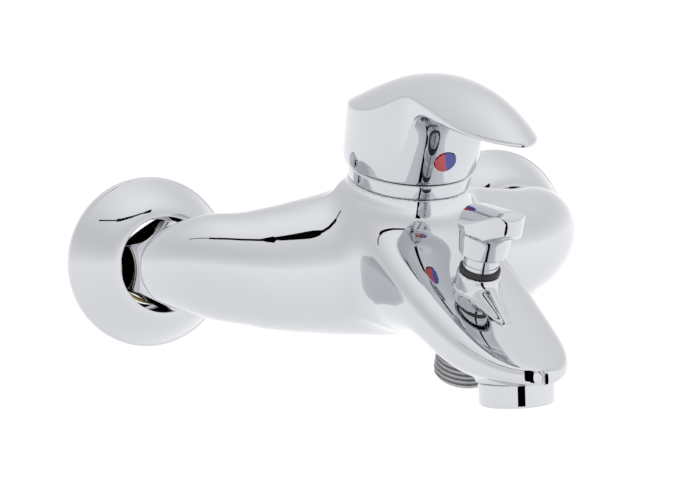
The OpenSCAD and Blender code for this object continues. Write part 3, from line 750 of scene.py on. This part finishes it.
def card(name, corners, mat):
    """A flat studio card that only shows in reflections."""
    me = bpy.data.meshes.new(name)
    me.from_pydata([tuple(c) for c in corners], [], [tuple(range(len(corners)))])
    ob = bpy.data.objects.new(name, me)
    scene.collection.objects.link(ob)
    me.materials.append(mat)
    ob.visible_camera = False
    ob.visible_diffuse = False
    ob.visible_shadow = False
    return ob


def floor():
    """A wide white floor, left out of reflections."""
    me = bpy.data.meshes.new("floor")
    z = cad_lo.z - FLOOR_DROP
    n, r = 64, 30
    ring = [(r * math.cos(2 * math.pi * i / n), r * math.sin(2 * math.pi * i / n), z) for i in range(n)]
    me.from_pydata(ring, [], [tuple(range(n))])
    ob = bpy.data.objects.new("floor", me)
    scene.collection.objects.link(ob)
    m = material("pale_floor", (0.96, 0.96, 0.965), 0.0, (0.8, 0.9), 30, tone=(0.95, 0.95, 0.955), specular=0.0)
    m.node_tree.nodes["Principled BSDF"].inputs["Emission Color"].default_value = (1, 1, 1, 1)
    m.node_tree.nodes["Principled BSDF"].inputs["Emission Strength"].default_value = 0.12
    me.materials.append(m)
    ob.visible_glossy = False


floor()


def studio_world():
    """A white room, a little darker half way up and towards the floor."""
    world = bpy.data.worlds.new("studio")
    scene.world = world
    world.use_nodes = True
    t = world.node_tree
    t.nodes.clear()
    out = t.nodes.new("ShaderNodeOutputWorld")
    bg = t.nodes.new("ShaderNodeBackground")
    co = t.nodes.new("ShaderNodeTexCoord")
    xyz = t.nodes.new("ShaderNodeSeparateXYZ")
    t.links.new(co.outputs["Generated"], xyz.inputs[0])

    def math_node(op, a, b):
        n = t.nodes.new("ShaderNodeMath")
        n.operation = op
        for k, v in enumerate((a, b)):
            if isinstance(v, (int, float)):
                n.inputs[k].default_value = v
            else:
                t.links.new(v, n.inputs[k])
        return n.outputs[0]

    z = xyz.outputs[2]
    side = math_node("MULTIPLY", xyz.outputs[0], 0.05)
    low = math_node("MULTIPLY", math_node("MINIMUM", z, 0.0), 0.12)
    rise = math_node("MAXIMUM", z, 0.0)
    high = math_node("MULTIPLY", math_node("MULTIPLY", rise, math_node("SUBTRACT", 1.0, rise)), -1.15)
    level = math_node("ADD", math_node("ADD", side, low), math_node("ADD", high, 1.14))
    t.links.new(level, bg.inputs["Strength"])
    bg.inputs["Color"].default_value = (1, 1, 1, 1)
    t.links.new(bg.outputs[0], out.inputs[0])


studio_world()
black = glow("black_card", (0.0, 0.0, 0.0), 0.0)


def ribbon(name, path, width, z):
    """A flat dark ribbon at one height, along a path of (x, y) points."""
    pts = [Vector((x, y, z)) for x, y in path]
    left, right_side = [], []
    for i, q in enumerate(pts):
        d = (pts[min(i + 1, len(pts) - 1)] - pts[max(i - 1, 0)]).normalized()
        n = Vector((-d.y, d.x, 0)) * width / 2
        left.append(q + n)
        right_side.append(q - n)
    card(name, left + right_side[::-1], black)


# dark rails overhead and one upright strip in front give the chrome its dark lines
HIGH_Z = 0.9
ribbon("front_rail", [(-0.88, 0.22), (-0.79, 0.09), (-0.64, -0.14)], 0.04, HIGH_Z)
ribbon("front_rail_wide", [(-0.64, -0.14), (-0.57, -0.23), (-0.31, -0.45), (-0.05, -0.58)], 0.10, HIGH_Z)
card("front_rail_end", [(-0.10, -0.52, HIGH_Z), (0.10, -0.45, HIGH_Z), (0.12, -0.78, HIGH_Z),
                        (-0.04, -0.68, HIGH_Z)], black)
aerator_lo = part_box("aerator_housing")[0]
front_y = aerator_lo.y - 0.04
card("near_strip", [(-0.027, front_y, aerator_lo.z - 0.02), (-0.006, front_y, aerator_lo.z - 0.02),
                    (-0.002, front_y, aerator_lo.z + 0.09), (-0.018, front_y, aerator_lo.z + 0.09)], black)

scene.view_settings.view_transform = "Standard"
